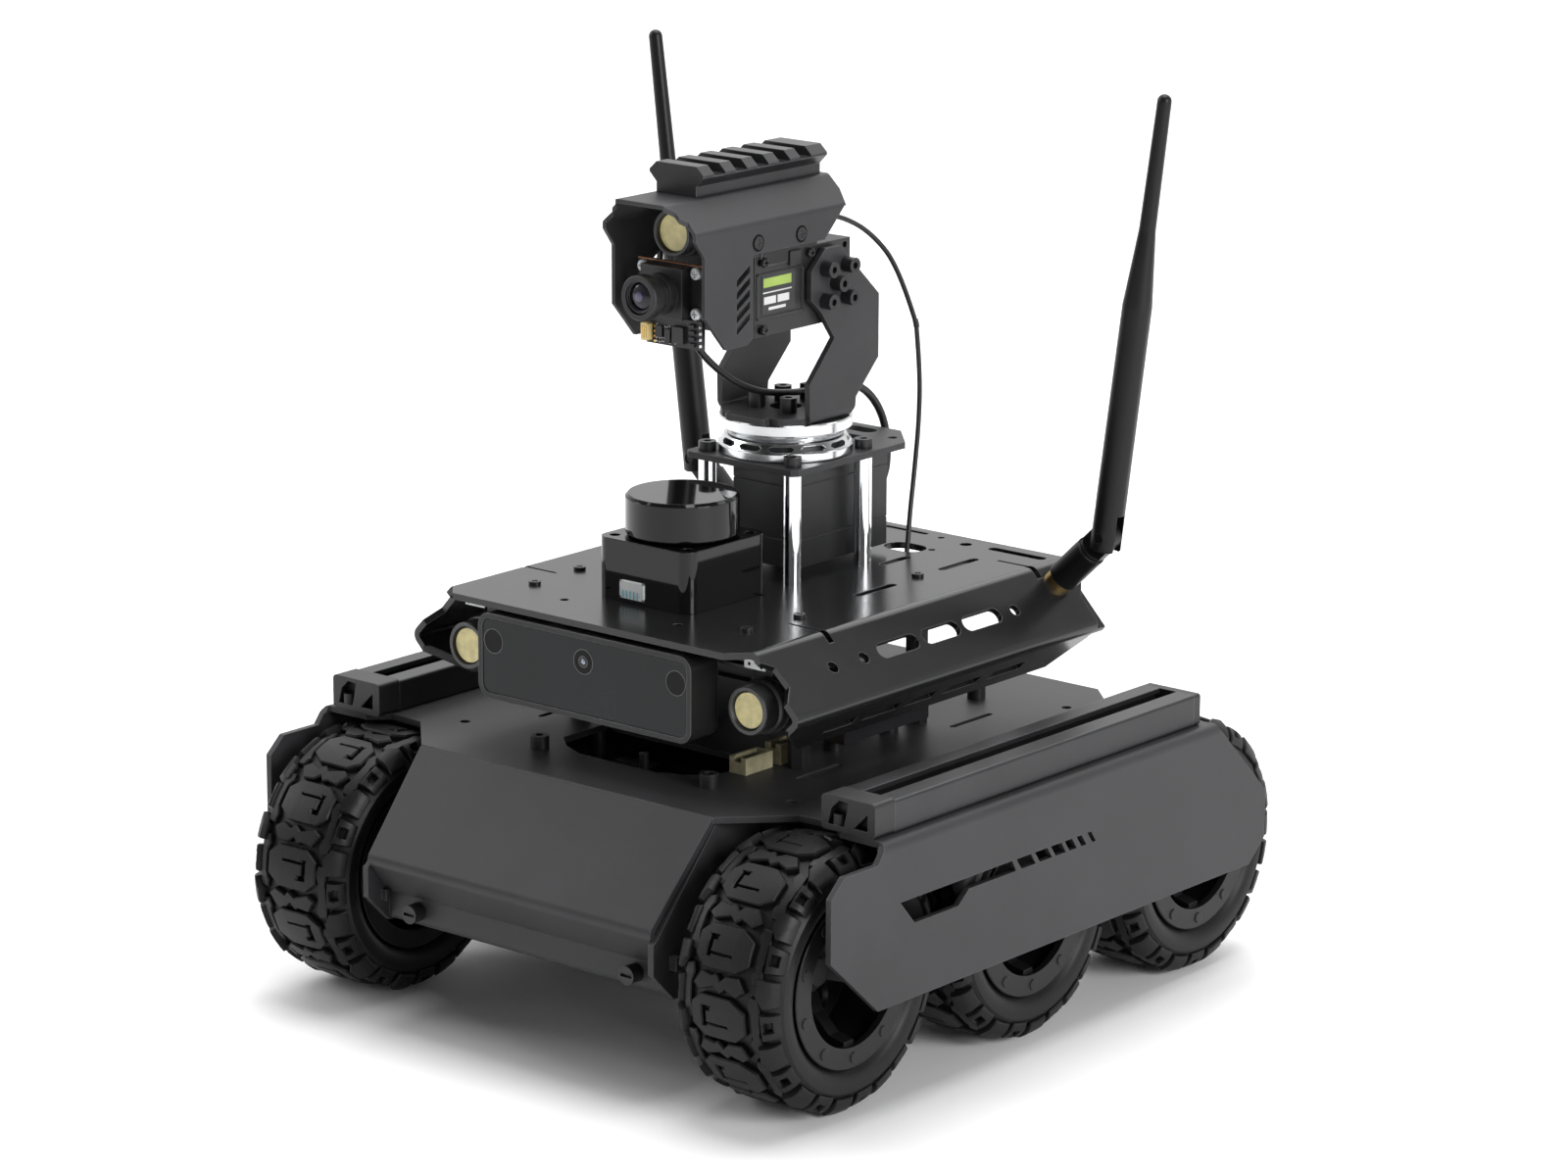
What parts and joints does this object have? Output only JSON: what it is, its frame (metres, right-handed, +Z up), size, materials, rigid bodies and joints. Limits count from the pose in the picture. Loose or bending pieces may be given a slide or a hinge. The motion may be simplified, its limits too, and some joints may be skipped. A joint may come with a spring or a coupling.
{
  "type": "six wheel robot chassis",
  "caption": "Off-road rover chassis with an electronics deck, depth camera bar, headlights, spinning range finder, pan and tilt camera head and folding antennas.",
  "frame": {"origin": "on the ground under the middle axle, on the mid-plane", "axes": "+Z up; the front of the rover faces -Y; +X is to the right in a view from the front"},
  "size_m": [0.227, 0.253, 0.2814],
  "materials": {
    "black_sheet": "satin black powder coat",
    "black_anodised": "satin black anodised",
    "bright_aluminium": "machined, bright",
    "polished_post": "polished",
    "black_screw": "black oxide",
    "motor_metal": "brushed",
    "battery_wrap": "shrink film",
    "servo_plastic": "fine texture",
    "device_black": "gloss",
    "case_black": "satin",
    "camera_shell": "fine satin grey",
    "camera_window": "smoked gloss",
    "lens_glass": "coated glass, dark",
    "lamp_ring": "satin",
    "led_yellow": "phosphor",
    "board_black": "solder mask",
    "plug_cream": "nylon",
    "antenna_black": "satin",
    "brass_gold": "plated",
    "tyre_rubber": "moulded",
    "rim_black": "satin",
    "cable_black": "satin jacket"
  },
  "bodies": {
    "chassis": {"battery_pack": "battery_wrap", "bearing_lower": "bright_aluminium", "charge_jack": "case_black", "chassis_shell": "black_sheet", "deck_posts": "black_anodised", "depthcam_body": "camera_shell", "depthcam_lenses": "lens_glass", "depthcam_window": "camera_window", "driver_unit": "case_black", "frame_screws": "black_screw", "gear_motors": "motor_metal", "head_cable_lower": "cable_black", "headlight_lenses": "led_yellow", "headlights": "lamp_ring", "lidar_base": "device_black", "middle_axles": "motor_metal", "pan_servo": "servo_plastic", "power_switch": "case_black", "rail_ends": "case_black", "rail_left": "black_anodised", "rail_right": "black_anodised", "servo_cable": "cable_black", "sma_jacks": "brass_gold", "tower_plate": "black_sheet", "tower_posts": "polished_post", "tub": "black_sheet", "upper_deck": "black_sheet", "wire_plugs": "plug_cream"},
    "lidar_spinner": {"lidar_head": "device_black"},
    "rocker": {"switch_rocker": "device_black"},
    "pan_fork": {"bearing_upper": "bright_aluminium", "fork": "black_sheet", "fork_screws": "black_screw", "tilt_horns": "black_screw"},
    "tilt_head": {"tilt_servo": "servo_plastic", "head_housing": "black_sheet", "picatinny_rail": "black_anodised", "spot_body": "lamp_ring", "spot_lens": "led_yellow", "cam_module": "case_black", "head_boards": "board_black", "head_screws": "black_screw", "camera_cable": "cable_black", "head_cable_upper": "cable_black"},
    "antenna_foot_left": {"antenna_base_left": "antenna_black"},
    "antenna_mast_left": {"antenna_whip_left": "antenna_black"},
    "antenna_foot_right": {"antenna_base_right": "antenna_black"},
    "antenna_mast_right": {"antenna_whip_right": "antenna_black"},
    "wheel_front_left": {"tyre_front_left": "tyre_rubber", "rim_front_left": "rim_black"},
    "wheel_front_right": {"tyre_front_right": "tyre_rubber", "rim_front_right": "rim_black"},
    "wheel_middle_left": {"tyre_middle_left": "tyre_rubber", "rim_middle_left": "rim_black"},
    "wheel_middle_right": {"tyre_middle_right": "tyre_rubber", "rim_middle_right": "rim_black"},
    "wheel_rear_left": {"tyre_rear_left": "tyre_rubber", "rim_rear_left": "rim_black"},
    "wheel_rear_right": {"tyre_rear_right": "tyre_rubber", "rim_rear_right": "rim_black"}
  },
  "joints": [
    {"name": "spin_front_left", "type": "hinge", "parent": "chassis", "child": "wheel_front_left", "pos_m": [-0.0864, -0.086, 0.0405], "axis": [1, 0, 0], "continuous": true},
    {"name": "spin_front_right", "type": "hinge", "parent": "chassis", "child": "wheel_front_right", "pos_m": [0.0864, -0.086, 0.0405], "axis": [1, 0, 0], "continuous": true},
    {"name": "spin_middle_left", "type": "hinge", "parent": "chassis", "child": "wheel_middle_left", "pos_m": [-0.0864, 0, 0.0405], "axis": [1, 0, 0], "continuous": true},
    {"name": "spin_middle_right", "type": "hinge", "parent": "chassis", "child": "wheel_middle_right", "pos_m": [0.0864, 0, 0.0405], "axis": [1, 0, 0], "continuous": true},
    {"name": "spin_rear_left", "type": "hinge", "parent": "chassis", "child": "wheel_rear_left", "pos_m": [-0.0864, 0.086, 0.0405], "axis": [1, 0, 0], "continuous": true},
    {"name": "spin_rear_right", "type": "hinge", "parent": "chassis", "child": "wheel_rear_right", "pos_m": [0.0864, 0.086, 0.0405], "axis": [1, 0, 0], "continuous": true},
    {"name": "lidar_spin", "type": "hinge", "parent": "chassis", "child": "lidar_spinner", "pos_m": [0, -0.042, 0.155], "axis": [0, 0, 1], "continuous": true},
    {"name": "head_pan", "type": "hinge", "parent": "chassis", "child": "pan_fork", "pos_m": [0, 0.0066, 0.178], "axis": [0, 0, 1], "range_deg": [-90, 90], "deforming": ["servo_cable"]},
    {"name": "head_tilt", "type": "hinge", "parent": "pan_fork", "child": "tilt_head", "pos_m": [0, 0.0074, 0.2215], "axis": [-1, 0, 0], "range_deg": [-30, 90], "deforming": ["head_cable_upper", "camera_cable"]},
    {"name": "switch_rock", "type": "hinge", "parent": "chassis", "child": "rocker", "pos_m": [-0.03, 0.09832, 0.06781], "axis": [0, 0.5567, -0.8307], "range_deg": [0, 14]},
    {"name": "antenna_swivel_left", "type": "hinge", "parent": "chassis", "child": "antenna_foot_left", "pos_m": [-0.06521, 0.0615, 0.1251], "axis": [-0.7208, 0, 0.6932], "range_deg": [-90, 90]},
    {"name": "antenna_fold_left", "type": "hinge", "parent": "antenna_foot_left", "child": "antenna_mast_left", "pos_m": [-0.08323, 0.0615, 0.14243], "axis": [0, -1, 0], "range_deg": [-45, 40]},
    {"name": "antenna_swivel_right", "type": "hinge", "parent": "chassis", "child": "antenna_foot_right", "pos_m": [0.06521, 0.0615, 0.1251], "axis": [0.7208, 0, 0.6932], "range_deg": [-90, 90]},
    {"name": "antenna_fold_right", "type": "hinge", "parent": "antenna_foot_right", "child": "antenna_mast_right", "pos_m": [0.08323, 0.0615, 0.14243], "axis": [0, 1, 0], "range_deg": [-45, 40]}
  ]
}
